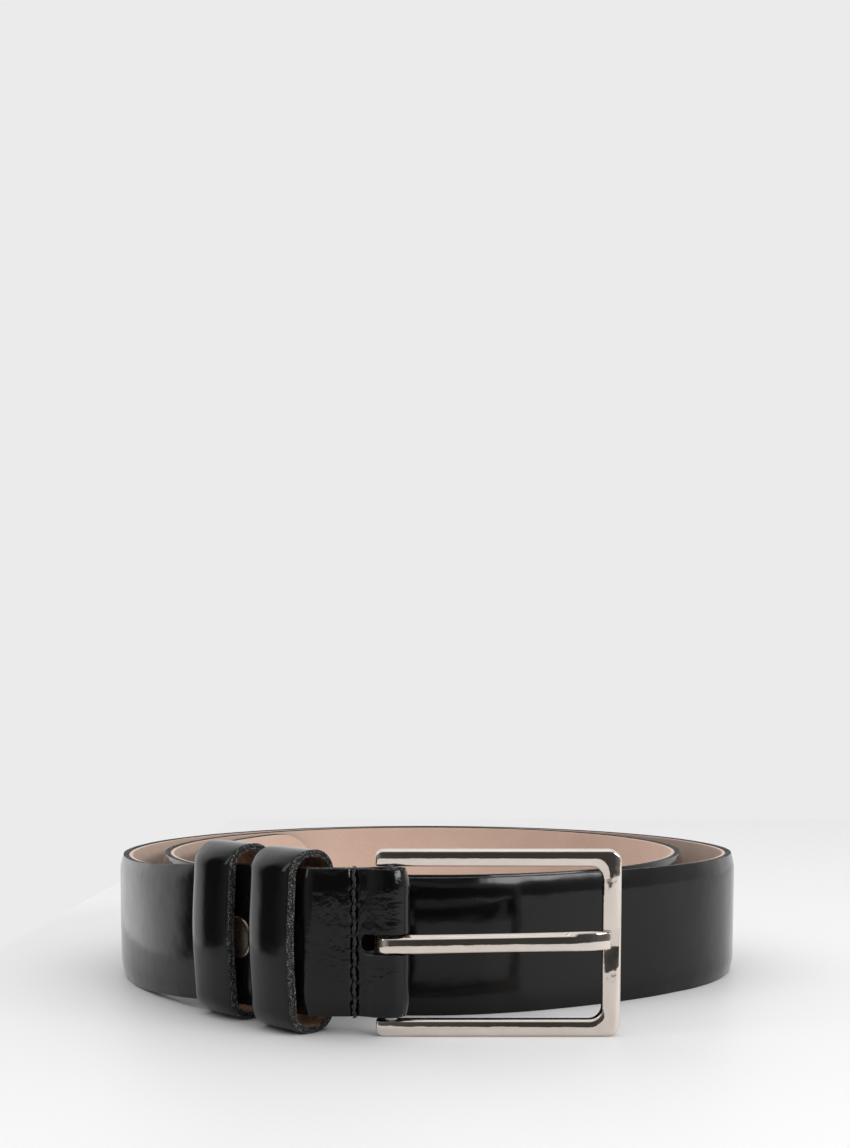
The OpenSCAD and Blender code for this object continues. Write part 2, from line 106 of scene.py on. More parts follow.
def buildRoom():
    scene = bpy.context.scene
    scene.view_settings.view_transform = "Standard"
    camera = bpy.data.objects.new("camera", bpy.data.cameras.new("camera"))
    scene.collection.objects.link(camera)
    camera.location = room["cameraAt"]
    camera.rotation_euler = (math.radians(90 - room["pitch"]), 0, 0)
    camera.data.sensor_fit = "HORIZONTAL"
    camera.data.sensor_width = 36
    camera.data.lens = room["lens"]
    camera.data.shift_y = room["shift"]
    camera.data.clip_start = 0.01
    scene.camera = camera

    # pale painted board, its gloss uneven over about 25 mm
    material, tree, inMm = newMaterial("paintedBoard")
    grain = addNode(tree, "ShaderNodeTexNoise", {"Vector": inMm, "Scale": 0.04, "Detail": 4.0})
    tone = addNode(tree, "ShaderNodeMapRange", {
        "Value": grain.outputs["Fac"], "To Min": 0.42, "To Max": 0.5})
    shader = addNode(tree, "ShaderNodeBsdfPrincipled", {
        "Base Color": linearColour(room["floor"]), "Roughness": tone.outputs["Result"]})
    addNode(tree, "ShaderNodeOutputMaterial", {"Surface": shader.outputs["BSDF"]})
    bm = bmesh.new()
    left, right, front, back = room["board"]
    bmesh.ops.create_grid(bm, x_segments=1, y_segments=1, size=0.5, matrix=Matrix.Translation(
        ((left + right) / 2, (front + back) / 2, 0)) @ Matrix.Diagonal((right - left, back - front, 1, 1)))
    floor = keepPiece("floorBoard", bm, [material])

    # a pale backdrop behind the belt and a dim room round the camera, which the black leather mirrors
    world = bpy.data.worlds.new("studio")
    scene.world = world
    world.use_nodes = True
    tree = world.node_tree
    tree.nodes.clear()
    place = addNode(tree, "ShaderNodeTexCoord")
    split = addNode(tree, "ShaderNodeSeparateXYZ", {"Vector": place.outputs["Generated"]})
    flipped = addNode(tree, "ShaderNodeMath", {0: split.outputs["X"], 1: -1.0}, operation="MULTIPLY")
    ahead = addNode(tree, "ShaderNodeMath", {0: split.outputs["Y"], 1: -1.0}, operation="MULTIPLY")
    azimuth = addNode(tree, "ShaderNodeMath", {
        0: flipped.outputs[0], 1: ahead.outputs[0]}, operation="ARCTAN2")
    turns = addNode(tree, "ShaderNodeMath", {0: azimuth.outputs[0], 1: 2 * math.pi}, operation="DIVIDE")
    wrapped = addNode(tree, "ShaderNodeMath", {0: turns.outputs[0]}, operation="FRACT")
    walls = addNode(tree, "ShaderNodeValToRGB", {"Fac": wrapped.outputs[0]})
    stops = walls.color_ramp.elements
    for i, (at, bright) in enumerate(room["walls"]):
        stop = stops[i] if i < 2 else stops.new(at)
        stop.position = at
    for stop, (at, bright) in zip(stops, room["walls"]):
        stop.color = (bright, bright, bright, 1)
    wallEnd, overheadStart = room["overheadFrom"]
    upward = addNode(tree, "ShaderNodeMapRange", {
        "Value": split.outputs["Z"], "From Min": wallEnd, "From Max": overheadStart})
    overhead = addNode(tree, "ShaderNodeMix", {
        "Factor": upward.outputs["Result"], 6: walls.outputs["Color"], 7: [room["overhead"]] * 3 + [1.0]},
        data_type="RGBA")
    shade = addNode(tree, "ShaderNodeMix", {
        "Factor": 1.0, 6: overhead.outputs[2], 7: linearColour(room["sky"])},
        data_type="RGBA", blend_type="MULTIPLY")
    sky = addNode(tree, "ShaderNodeBackground", {"Color": shade.outputs[2], "Strength": room["doubled"]})
    addNode(tree, "ShaderNodeOutputWorld", {"Surface": sky.outputs["Background"]})

    for name, (where, wide, high, watts) in room["lamps"].items():
        lamp = bpy.data.lights.new(name, "AREA")
        lamp.shape = "RECTANGLE"
        lamp.size, lamp.size_y = wide, high
        lamp.energy = watts
        holder = bpy.data.objects.new(name, lamp)
        holder.location = where
        aim = Vector(room["aim"]) - Vector(where)
        holder.rotation_euler = aim.to_track_quat("-Z", "Y").to_euler()
        scene.collection.objects.link(holder)
    print("room built")


def keepPiece(name, bm, materials, smoothAngle=35):
    # turns the bmesh into an object at the origin
    mesh = bpy.data.meshes.new(name)
    for face in bm.faces:
        face.smooth = True
    sharp = math.radians(smoothAngle)
    for edge in bm.edges:
        edge.smooth = len(edge.link_faces) < 2 or edge.calc_face_angle(0) < sharp
    bm.to_mesh(mesh)
    bm.free()
    for material in materials:
        mesh.materials.append(material)
    piece = bpy.data.objects.new(name, mesh)
    bpy.context.scene.collection.objects.link(piece)
    return piece


# the scales of patterns are counts per millimetre

def leatherGlazed():
    # glazed calf: deep black under a mirror-smooth glaze that the fold has broken into fine creases
    material, tree, inMm = newMaterial("glazedCalfLeather", uvMap="flat")
    # swells 8 mm across everywhere, creases 2 mm across that fade out away from the fold
    split = addNode(tree, "ShaderNodeSeparateXYZ", {"Vector": inMm})
    away = addNode(tree, "ShaderNodeMath", {0: split.outputs["X"]}, operation="ABSOLUTE")
    folded = addNode(tree, "ShaderNodeMapRange", {
        "Value": away.outputs[0], "From Min": 12.0, "From Max": 26.0, "To Min": 0.42, "To Max": 0.0})
    swell = addNode(tree, "ShaderNodeTexNoise", {
        "Vector": inMm, "Scale": 0.12, "Detail": 2.0, "Roughness": 0.5})
    creases = addNode(tree, "ShaderNodeTexNoise", {
        "Vector": inMm, "Scale": 0.55, "Detail": 2.0, "Roughness": 0.5})
    # hair pores are about 0.2 mm, drawn at 0.4 mm so that they show
    pores = addNode(tree, "ShaderNodeTexVoronoi", {"Vector": inMm, "Scale": 2.5})
    # a small speck of dust about every 6 mm
    dust = addNode(tree, "ShaderNodeTexVoronoi", {"Vector": inMm, "Scale": 0.16})
    speck = addNode(tree, "ShaderNodeMapRange", {
        "Value": dust.outputs["Distance"], "From Min": 0.012, "From Max": 0.02, "To Min": 0.7,
        "To Max": 0.0})
    dusty = addNode(tree, "ShaderNodeMix", {
        "Factor": speck.outputs["Result"], 6: linearColour("09090a"), 7: linearColour("7a7978")},
        data_type="RGBA")
    gloss = addNode(tree, "ShaderNodeMapRange", {
        "Value": swell.outputs["Fac"], "From Min": 0.3, "From Max": 0.7, "To Min": 0.1, "To Max": 0.17})
    low = addNode(tree, "ShaderNodeBump", {
        "Height": swell.outputs["Fac"], "Strength": 0.25, "Distance": 0.0006})
    mid = addNode(tree, "ShaderNodeBump", {
        "Height": creases.outputs["Fac"], "Strength": folded.outputs["Result"], "Distance": 0.0004,
        "Normal": low.outputs["Normal"]})
    fine = addNode(tree, "ShaderNodeBump", {
        "Height": pores.outputs["Distance"], "Strength": 0.06, "Distance": 0.00003,
        "Normal": mid.outputs["Normal"]})
    shader = addNode(tree, "ShaderNodeBsdfPrincipled", {
        "Base Color": dusty.outputs[2], "Roughness": gloss.outputs["Result"],
        "Normal": fine.outputs["Normal"], "Specular IOR Level": 0.24,
        "Coat Weight": 0.08, "Coat Roughness": 0.05})
    addNode(tree, "ShaderNodeOutputMaterial", {"Surface": shader.outputs["BSDF"]})
    return material


def leatherEdge():
    # edge ink over raw fibres: charcoal, lumpy and rough, with pale grains painted into its colour as glints
    material, tree, inMm = newMaterial("edgeInkPaintedGlintsAndShade")
    # lumps 0.5 mm across, grains 0.2 mm
    lumps = addNode(tree, "ShaderNodeTexNoise", {
        "Vector": inMm, "Scale": 2.2, "Detail": 5.0, "Roughness": 0.7})
    grains = addNode(tree, "ShaderNodeTexNoise", {"Vector": inMm, "Scale": 4.5, "Detail": 2.0})
    # painted glints: pale grains mixed into the charcoal ink
    paintedGlints = addNode(tree, "ShaderNodeMapRange", {
        "Value": grains.outputs["Fac"], "From Min": 0.58, "From Max": 0.7})
    colour = addNode(tree, "ShaderNodeMix", {
        "Factor": paintedGlints.outputs["Result"], 6: linearColour("1b1b1c"), 7: linearColour("d2d0cc")},
        data_type="RGBA")
    bump = addNode(tree, "ShaderNodeBump", {
        "Height": lumps.outputs["Fac"], "Strength": 1.0, "Distance": 0.0004})
    shader = addNode(tree, "ShaderNodeBsdfPrincipled", {
        "Base Color": colour.outputs[2], "Roughness": 0.75, "Specular IOR Level": 0.25,
        "Normal": bump.outputs["Normal"]})
    addNode(tree, "ShaderNodeOutputMaterial", {"Surface": shader.outputs["BSDF"]})
    return material


def leatherLining():
    # vegetable-tanned calf lining: nude pink-tan, matte, fine hair-cell grain and slow changes of tone
    material, tree, inMm = newMaterial("nudeCalfLining", uvMap="flat")
    # clouds 17 mm across, grain 0.6 mm and fibres 0.8 mm
    clouds = addNode(tree, "ShaderNodeTexNoise", {"Vector": inMm, "Scale": 0.06, "Detail": 4.0})
    grain = addNode(tree, "ShaderNodeTexVoronoi", {"Vector": inMm, "Scale": 1.6})
    fibres = addNode(tree, "ShaderNodeTexNoise", {
        "Vector": inMm, "Scale": 1.2, "Detail": 6.0, "Roughness": 0.65})
    tone = addNode(tree, "ShaderNodeMix", {
        "Factor": clouds.outputs["Fac"], 6: linearColour("d6b8a6"), 7: linearColour("e6cebf")},
        data_type="RGBA")
    worn = addNode(tree, "ShaderNodeMix", {
        "Factor": fibres.outputs["Fac"], 6: tone.outputs[2], 7: linearColour("e8ddd6")},
        data_type="RGBA", blend_type="MULTIPLY")
    low = addNode(tree, "ShaderNodeBump", {
        "Height": fibres.outputs["Fac"], "Strength": 0.3, "Distance": 0.0001})
    fine = addNode(tree, "ShaderNodeBump", {
        "Height": grain.outputs["Distance"], "Strength": 0.3, "Distance": 0.00006,
        "Normal": low.outputs["Normal"]})
    shader = addNode(tree, "ShaderNodeBsdfPrincipled", {
        "Base Color": worn.outputs[2], "Roughness": 0.62, "Normal": fine.outputs["Normal"],
        "Sheen Weight": 0.15})
    addNode(tree, "ShaderNodeOutputMaterial", {"Surface": shader.outputs["BSDF"]})
    return material


def leatherRaw():
    # raw flesh side of vegetable-tanned leather: orange-tan, furry and blotched
    material, tree, inMm = newMaterial("rawVegTanLeather")
    # blotches 2 mm across, fuzz 0.3 mm
    blotch = addNode(tree, "ShaderNodeTexNoise", {
        "Vector": inMm, "Scale": 0.5, "Detail": 5.0, "Roughness": 0.7})
    fuzz = addNode(tree, "ShaderNodeTexNoise", {"Vector": inMm, "Scale": 3.5, "Detail": 4.0})
    spread = addNode(tree, "ShaderNodeMapRange", {
        "Value": blotch.outputs["Fac"], "From Min": 0.35, "From Max": 0.65})
    tone = addNode(tree, "ShaderNodeMix", {
        "Factor": spread.outputs["Result"], 6: linearColour("7a4f29"), 7: linearColour("c28e5c")},
        data_type="RGBA")
    bump = addNode(tree, "ShaderNodeBump", {
        "Height": fuzz.outputs["Fac"], "Strength": 0.8, "Distance": 0.0002})
    shader = addNode(tree, "ShaderNodeBsdfPrincipled", {
        "Base Color": tone.outputs[2], "Roughness": 0.85, "Normal": bump.outputs["Normal"],
        "Sheen Weight": 0.3})
    addNode(tree, "ShaderNodeOutputMaterial", {"Surface": shader.outputs["BSDF"]})
    return material


def threadWaxed():
    # waxed polyester thread, two ply: black with a dull wax shine and fibres of about 0.2 mm
    material, tree, inMm = newMaterial("waxedThread")
    fibres = addNode(tree, "ShaderNodeTexNoise", {"Vector": inMm, "Scale": 5.0, "Detail": 3.0})
    tone = addNode(tree, "ShaderNodeMix", {
        "Factor": fibres.outputs["Fac"], 6: linearColour("050505"), 7: linearColour("1b1a1a")},
        data_type="RGBA")
    bump = addNode(tree, "ShaderNodeBump", {
        "Height": fibres.outputs["Fac"], "Strength": 0.6, "Distance": 0.0001})
    shader = addNode(tree, "ShaderNodeBsdfPrincipled", {
        "Base Color": tone.outputs[2], "Roughness": 0.48, "Normal": bump.outputs["Normal"]})
    addNode(tree, "ShaderNodeOutputMaterial", {"Surface": shader.outputs["BSDF"]})
    return material


def metalPolished(name, dark, light, rough):
    # plated metal, nearly a mirror when it is polished, with soft polishing waves and faint hairlines
    material, tree, inMm = newMaterial(name)
    # waves 5 mm across, hairlines 0.2 mm wide and 3 mm long
    waves = addNode(tree, "ShaderNodeTexNoise", {"Vector": inMm, "Scale": 0.22, "Detail": 2.0})
    stretched = addNode(tree, "ShaderNodeMapping", {"Vector": inMm, "Scale": (0.15, 2.5, 2.5)})
    hairs = addNode(tree, "ShaderNodeTexNoise", {
        "Vector": stretched.outputs["Vector"], "Scale": 2.0, "Detail": 4.0})
    tone = addNode(tree, "ShaderNodeMix", {
        "Factor": waves.outputs["Fac"], 6: linearColour(dark), 7: linearColour(light)}, data_type="RGBA")
    gloss = addNode(tree, "ShaderNodeMapRange", {
        "Value": hairs.outputs["Fac"], "From Min": 0.3, "From Max": 0.7, "To Min": rough * 0.7,
        "To Max": rough * 1.4})
    low = addNode(tree, "ShaderNodeBump", {
        "Height": waves.outputs["Fac"], "Strength": 0.2, "Distance": 0.0004})
    fine = addNode(tree, "ShaderNodeBump", {
        "Height": hairs.outputs["Fac"], "Strength": 0.05, "Distance": 0.00003,
        "Normal": low.outputs["Normal"]})
    shader = addNode(tree, "ShaderNodeBsdfPrincipled", {
        "Base Color": tone.outputs[2], "Metallic": 1.0, "Roughness": gloss.outputs["Result"],
        "Normal": fine.outputs["Normal"]})
    addNode(tree, "ShaderNodeOutputMaterial", {"Surface": shader.outputs["BSDF"]})
    return material


def fibreBoard(name, dark, light, scale):
    # pressed fibres, matte and a little uneven
    material, tree, inMm = newMaterial(name)
    fibres = addNode(tree, "ShaderNodeTexNoise", {
        "Vector": inMm, "Scale": scale, "Detail": 5.0, "Roughness": 0.7})
    tone = addNode(tree, "ShaderNodeMix", {
        "Factor": fibres.outputs["Fac"], 6: linearColour(dark), 7: linearColour(light)},
        data_type="RGBA")
    bump = addNode(tree, "ShaderNodeBump", {
        "Height": fibres.outputs["Fac"], "Strength": 0.6, "Distance": 0.0002})
    shader = addNode(tree, "ShaderNodeBsdfPrincipled", {
        "Base Color": tone.outputs[2], "Roughness": 0.85, "Normal": bump.outputs["Normal"]})
    addNode(tree, "ShaderNodeOutputMaterial", {"Surface": shader.outputs["BSDF"]})
    return material


glazed, edgeInkGlintsShade, lining, raw = leatherGlazed(), leatherEdge(), leatherLining(), leatherRaw()
thread = threadWaxed()
nickel = metalPolished("polishedNickelPlate", "d0c5bb", "e0d6cd", 0.06)     # warm silver mirror
darkNickel = metalPolished("darkNickelPlate", "84766a", "a39484", 0.3)      # brownish and satin
steel = metalPolished("drawnSteel", "8a8a8c", "a5a5a8", 0.3)                # plain grey, drawn dull
board = fibreBoard("leatherBoard", "2a2523", "4a403a", 2.0)                 # dark, fibres of 0.5 mm
felt = fibreBoard("woolFelt", "a59a86", "c4baa6", 3.0)                      # cream, fibres of 0.3 mm
print("materials made")

# the strap and its route, in millimetres, from the middle of the fold
barLow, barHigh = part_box("buckle_bar")
barX, barY = [(barLow[i] + barHigh[i]) / 2 / mm for i in (0, 1)]

strap = {
    "width": 35.0, "shell": 1.3, "board": 1.3, "boardEdge": 0.3, "lining": 1.0,
    "feather": 5.0, "tip": 20.0, "tipRadius": 20.18,
    "foldRadius": 2.0, "plyGap": 0.1, "neck": 7.5, "front": 17.0, "crease": 3.2, "creaseTurn": 45.0,
    "run": 44.0, "tabRun": 32.0, "liftAtBuckle": 4.9, "liftOver": 90.0,
    "slotEnd": 10.35, "slotLow": 14.8, "slotHigh": 19.8, "slotRound": 2.2,
    "holes": 5, "holeRadius": 2.3, "holeFromTip": 75.0, "holePitch": 25.0,
    "steps": [(16, 0.45), (32, 0.7), (80, 1.6)],    # mesh step up to each distance from the fold
    "tipStep": 0.8, "coilStep": 2.2,
    # how far the leather's outer face strays: long swells, pulled edges, the sunk row, puckers, soft fold
    "swell": 0.10, "pull": 0.16, "sunk": 0.6, "pucker": 0.34, "soft": 0.26,
}
# radius and turn in degrees of each bend of the coil, one turn on each line
coilBends = [
    (110, 24), (82, 41), (88, 71), (94, 54), (85, 27), (59, 54), (135, 25),
    (73, 54), (81, 79), (77, 48), (75, 46), (78, 49), (76, 54),
    (72, 90), (67, 52), (100, 42),
]
outFace = strap["shell"] + strap["board"]


def walk(stretch, s):
    # place and heading at distance s on a stretch; a bend turns right for a positive radius
    start, x, y, heading, radius = stretch
    length = s - start
    if not radius:
        return x + length * math.cos(heading), y + length * math.sin(heading), heading
    turned = heading - length / radius
    return (x + radius * (math.cos(heading - math.pi / 2) - math.cos(turned - math.pi / 2)),
            y + radius * (math.sin(heading - math.pi / 2) - math.sin(turned - math.pi / 2)), turned)


def layRoute(x, y, heading, stretches):
    # stretches of length and radius laid end to end; returns them with their total length
    laid, s = [], 0.0
    for length, radius in stretches:
        laid.append((s, x, y, heading, radius))
        x, y, heading = walk(laid[-1], s + length)
        s += length
    return laid, s


def neckBends(drop, sense):
    # the S that brings a ply from the fold down to the strap's line
    turn = 2 * math.atan(drop / strap["neck"])
    radius = strap["neck"] / (2 * math.sin(turn))
    return [(radius * turn, sense * radius), (radius * turn, -sense * radius)]


def arc(radius, degrees):
    return (abs(radius) * math.radians(degrees), radius)


foldR, creaseR = strap["foldRadius"], strap["crease"]
straightL = strap["front"] - strap["neck"]
frontRoute, frontEnd = layRoute(barX + foldR, barY, -math.pi / 2, [
    arc(foldR, 90), *neckBends(foldR, 1), (straightL, 0), arc(creaseR, strap["creaseTurn"]),
    (strap["run"], 0), *[arc(radius, turn) for radius, turn in coilBends]])
tabRoute, tabEnd = layRoute(barX + foldR, barY, math.pi / 2, [
    arc(-foldR, 90), *neckBends(foldR - strap["plyGap"], -1), (straightL, 0),
    arc(creaseR - strap["plyGap"], strap["creaseTurn"]), (strap["tabRun"], 0)])
runStart = frontRoute[5][0]
tabRunStart = tabRoute[5][0]
stitchAt = frontRoute[3][0] + 1.0
frontStarts = [stretch[0] for stretch in frontRoute]
tabStarts = [stretch[0] for stretch in tabRoute]


def strapPoint(s, d):
    # s along the reference face from the middle of the fold, d outward from it
    laid, starts, side = (frontRoute, frontStarts, 1) if s >= 0 else (tabRoute, tabStarts, -1)
    x, y, heading = walk(laid[bisect_right(starts, abs(s)) - 1], abs(s))
    return x - side * d * math.sin(heading), y + side * d * math.cos(heading)


def lift(s):
    # the strap stands on the surface round the coil and climbs to the buckle
    along = s - runStart if s >= 0 else -s - tabRunStart
    t = min(max(along / strap["liftOver"], 0), 1)
    return strap["liftAtBuckle"] * (1 - t * t * (3 - 2 * t))


def roll(bm):
    # carries flat verts (s, d, z) onto the route, in metres
    for vert in bm.verts:
        s, d, z = vert.co
        x, y = strapPoint(s, d)
        vert.co = (x * mm, y * mm, (z + lift(s)) * mm)


def stationsOver(low, high):
    # close together at the fold, the crease and the stitches, further apart round the coil
    found, s = [], low
    while s < high - 0.01:
        found.append(s)
        far = strap["tipStep"] if s > high - strap["tip"] else strap["coilStep"]
        s += next((step for reach, step in strap["steps"] if abs(s) < reach), far)
    return found + [high]


def levelsAcross(margin):
    edge = [0.0, 0.25, 0.6, 1.0, 1.5, 2.1, 2.8, 3.6, 4.5, 5.5, 6.8, 8.2]
    low = [margin + z for z in edge]
    middle = [9.9 + 1.52 * i for i in range(11)]
    return low + middle + [strap["width"] - z for z in reversed(low)]


def flatGrid(stations, levels):
    bm = bmesh.new()
    columns, rows = len(stations) - 1, len(levels) - 1
    bmesh.ops.create_grid(bm, x_segments=columns, y_segments=rows, size=0.5)
    for vert in bm.verts:
        vert.co = (stations[round((vert.co.x + 0.5) * columns)], 0, levels[round((vert.co.y + 0.5) * rows)])
    return bm


def tipHalfWidth(s):
    fromTip = frontEnd - s
    if fromTip >= strap["tip"]:
        return strap["width"] / 2
    radius = strap["tipRadius"]
    return max(math.sqrt(radius ** 2 - (strap["tip"] - fromTip) ** 2) - radius + strap["width"] / 2, 0.4)


def boardFace(s, z):
    # outer face of the filler board, thinner along both edges
    half = tipHalfWidth(s)
    edge = min(half - abs(z - strap["width"] / 2), strap["feather"])
    rise = math.sin(max(edge, 0) / strap["feather"] * math.pi / 2)
    return strap["boardEdge"] + (strap["board"] - strap["boardEdge"]) * rise


def relief(s, z):
    # hand of the leather: long swells, pulled edges, and puckers round the stitches and the fold
    swell = strap["swell"] * noise.noise(Vector((s * 0.055, z * 0.09, 2.0)))
    edge = math.exp(-min(z, strap["width"] - z) / 2.5)
    swell += strap["pull"] * edge * noise.noise(Vector((s * 0.13, z * 0.2, 7.0)))
    if abs(s) < 40:
        away = abs(abs(s) - stitchAt)
        swell -= strap["sunk"] * math.exp(-(away / 0.9) ** 2)
        pucker = math.exp(-away / 2.6)
        swell += strap["pucker"] * pucker * noise.noise(Vector((s * 0.5, z * 0.85, 4.0)))
        soft = math.exp(-(s / 13) ** 2)
        swell += strap["soft"] * soft * noise.noise(Vector((s * 0.22, z * 0.28, 9.0)))
    return swell


def layFlatUv(bm):
    # the leather's pattern follows the flat strap, in metres
    uv = bm.loops.layers.uv.new("flat")
    for face in bm.faces:
        for loop in face.loops:
            s, d, z = loop.vert.co
            loop[uv].uv = (s * mm, (z + 0.7 * d) * mm)


def strapLayer(low, high, margin, outer, inner, rimRound, rimIndex):
    # a layer is a flat grid given its thickness by extrusion; the roll comes after its cuts
    bm = flatGrid(stationsOver(low, high), levelsAcross(margin))
    faces = bm.faces[:]
    middle = strap["width"] / 2
    for vert in bm.verts:
        s, z = vert.co.x, vert.co.z
        half = (tipHalfWidth(s) - margin) / (middle - margin)
        vert.co.z = middle + (z - middle) * max(half, 0.02)
    grown = bmesh.ops.extrude_face_region(bm, geom=faces)["geom"]
    innerVerts = {item for item in grown if isinstance(item, bmesh.types.BMVert)}
    for vert in bm.verts:
        s, z = vert.co.x, vert.co.z
        vert.co.y = inner(s, z) if vert in innerVerts else outer(s, z)
    bm.normal_update()
    bmesh.ops.recalc_face_normals(bm, faces=bm.faces[:])
    rims = [edge for edge in bm.edges if len(edge.link_faces) == 2 and edge.calc_face_angle(0) > 1.0]
    rimFaces = {face for face in bm.faces if abs(face.normal.y) < 0.6}
    for face in rimFaces:
        face.material_index = rimIndex
    if rimRound:
        bmesh.ops.bevel(bm, geom=rims, offset=rimRound, segments=2, profile=0.5, affect="EDGES",
                        material=-1, clamp_overlap=True)
    return bm


def cutAway(bm, cutters):
    # slot and holes are punched while the layer is flat
    for face in cutters.faces:
        face.material_index = 1
    plain = keepPiece("flatLayer", bm, [glazed, edgeInkGlintsShade])
    tool = keepPiece("punch", cutters, [glazed, edgeInkGlintsShade])
    cut = plain.modifiers.new("cut", "BOOLEAN")
    cut.operation, cut.object, cut.solver = "DIFFERENCE", tool, "EXACT"
    finished = plain.evaluated_get(bpy.context.evaluated_depsgraph_get())
    punched = bmesh.new()
    punched.from_mesh(finished.to_mesh())
    finished.to_mesh_clear()
    for used in (plain, tool):
        mesh = used.data
        bpy.data.objects.remove(used)
        bpy.data.meshes.remove(mesh)
    return punched


def punches(withSlot):
    bm = bmesh.new()
    for i in range(strap["holes"]):
        s = frontEnd - strap["holeFromTip"] - i * strap["holePitch"]
        where = Matrix.Translation((s, 0.5, strap["width"] / 2)) @ Matrix.Rotation(math.pi / 2, 4, "X")
        bmesh.ops.create_cone(bm, cap_ends=True, segments=32, radius1=strap["holeRadius"],
                              radius2=strap["holeRadius"], depth=12, matrix=where)
    if withSlot:
        high = strap["slotHigh"] - strap["slotLow"]
        size = Matrix.Diagonal((2 * strap["slotEnd"], 12, high, 1))
        where = Matrix.Translation((0, 0.5, strap["slotLow"] + high / 2))
        made = bmesh.ops.create_cube(bm, size=1, matrix=where @ size)
        corners = [e for e in {e for v in made["verts"] for e in v.link_edges}
                   if abs(e.verts[0].co.y - e.verts[1].co.y) > 1]
        bmesh.ops.bevel(bm, geom=corners, offset=strap["slotRound"], segments=6, profile=0.5,
                        affect="EDGES", material=-1)
    return bm


def rolledPiece(name, bm, materials):
    layFlatUv(bm)
    roll(bm)
    piece = keepPiece(name, bm, materials, 40)
    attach(piece, "strap")
    return piece


def buildStrap():
    lowEnd = -tabEnd
    shell = strapLayer(lowEnd, frontEnd, 0.0, lambda s, z: boardFace(s, z) + strap["shell"] + relief(s, z),
                       boardFace, 0.35, 1)
    shell = rolledPiece("strapShell", cutAway(shell, punches(True)), [glazed, edgeInkGlintsShade])
    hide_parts("strap_shell")
    filler = strapLayer(lowEnd, frontEnd, 0.05, lambda s, z: boardFace(s, z) - 0.02, lambda s, z: 0.0, 0, 1)
    filler = rolledPiece("strapBoard", cutAway(filler, punches(True)), [board, edgeInkGlintsShade])
    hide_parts("strap_core")
    inside = strapLayer(runStart + strap["tabRun"] + 0.5, frontEnd, 0.2, lambda s, z: -0.02,
                        lambda s, z: -strap["lining"] + 0.05 * noise.noise(Vector((s * 0.1, z * 0.15, 5))),
                        0.2, 0)
    inside = rolledPiece("strapLining", cutAway(inside, punches(False)), [lining, edgeInkGlintsShade])
    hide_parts("strap_lining")
    print("strap rolled")


# the hand stitches just behind the fold
stitches = {
    "count": 9, "pitch": 3.7, "radius": 0.3, "twists": 2.2,
    "sunk": 0.55, "rise": 0.75,     # how deep the needle holes lie, and how far a stitch rises from them
    "stray": 0.12,
    # the end loops over the strap's edges: turns of a stitch, distance outward, height from the edge
    "ends": [(0.15, 1.95, 0.2), (0.3, 1.5, -0.3), (0.45, 0.8, -0.4), (0.6, 0.1, -0.42)],
}


def threadPath(side):
    # two plies twist round each other; the row dips into its needle holes
    count, pitch = stitches["count"], stitches["pitch"]
    middle = strap["width"] / 2
    first = middle - count * pitch / 2
    points = []
    steps = 14
    for i in range(count * steps + 1):
        t = i / steps
        z = first + t * pitch
        bow = abs(math.sin(t * math.pi)) ** 0.7
        d = outFace - stitches["sunk"] + stitches["rise"] * bow
        points.append((side * stitchAt + stitches["stray"] * math.sin(t * 5.1), d, z, t))
    above = [(side * stitchAt, d, strap["width"] - z, count + t) for t, d, z in stitches["ends"]]
    below = [(side * stitchAt, d, z, -t) for t, d, z in reversed(stitches["ends"])]
    return below + points + above


def buildStitches():
    bm = bmesh.new()
    radius = stitches["radius"]
    for side in (1, -1):
        path = threadPath(side)
        for ply in (0, math.pi):
            rings = []
            for s, d, z, t in path:
                turn = ply + t * stitches["twists"] * math.pi
                centre = (s + 0.72 * radius * math.cos(turn), d + 0.72 * radius * math.sin(turn), z)
                ring = bmesh.ops.create_circle(bm, cap_ends=False, segments=8, radius=radius,
                                               matrix=Matrix.Translation(centre))["verts"]
                rings.append(ring)
            for low, high in zip(rings, rings[1:]):
                edges = [edge for ring in (low, high)
                         for edge in {e for v in ring for e in v.link_edges if e.other_vert(v) in ring}]
                bmesh.ops.bridge_loops(bm, edges=edges)
            for ring in (rings[0], rings[-1]):
                bmesh.ops.contextual_create(bm, geom=ring)
    bmesh.ops.recalc_face_normals(bm, faces=bm.faces[:])
    piece = rolledPiece("foldStitches", bm, [thread])
    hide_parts("fold_stitches")
    print("stitches sewn")


# the buckle's frame; its arms end at the bar
buckle = {
    "length": 57.7, "height": 44.4, "thick": 3.4, "inset": 3.5, "arm": 4.0, "farBar": 4.35,
    "outerRound": 3.0, "innerRound": 3.0, "endRound": 1.75,
    # the front's low ridge: its rise, where it starts short of the arm's middle, and how far it is eased
    "ridge": 0.34, "ridgeShort": 0.3, "ridgeRound": 0.5,
    "arris": 0.6,
    # the scoop under the prong's point, and its middle from the window's edge and from mid-height
    "notchHeight": 9.2, "notchDepth": 0.5, "notchWidth": 4.4, "notchIn": 1.6, "notchUp": 0.3,
}


def uprightBlock(left, right, thick, low, high):
    # a block about the bar's plane, for the frame and its window
    bm = bmesh.new()
    size = Matrix.Diagonal((right - left, thick, high - low, 1))
    middle = Matrix.Translation(((left + right) / 2, barY, (low + high) / 2))
    bmesh.ops.create_cube(bm, size=1, matrix=middle @ size)
    return bm


def roundCorners(bm, beyondBar, offset, segments):
    # the edges that run from front to back, on one side of the bar
    edges = [e for e in bm.edges if abs(e.verts[0].co.y - e.verts[1].co.y) > 1
             and (e.verts[0].co.x > barX) == beyondBar]
    bmesh.ops.bevel(bm, geom=edges, offset=offset, segments=segments, profile=0.5, affect="EDGES",
                    material=-1)


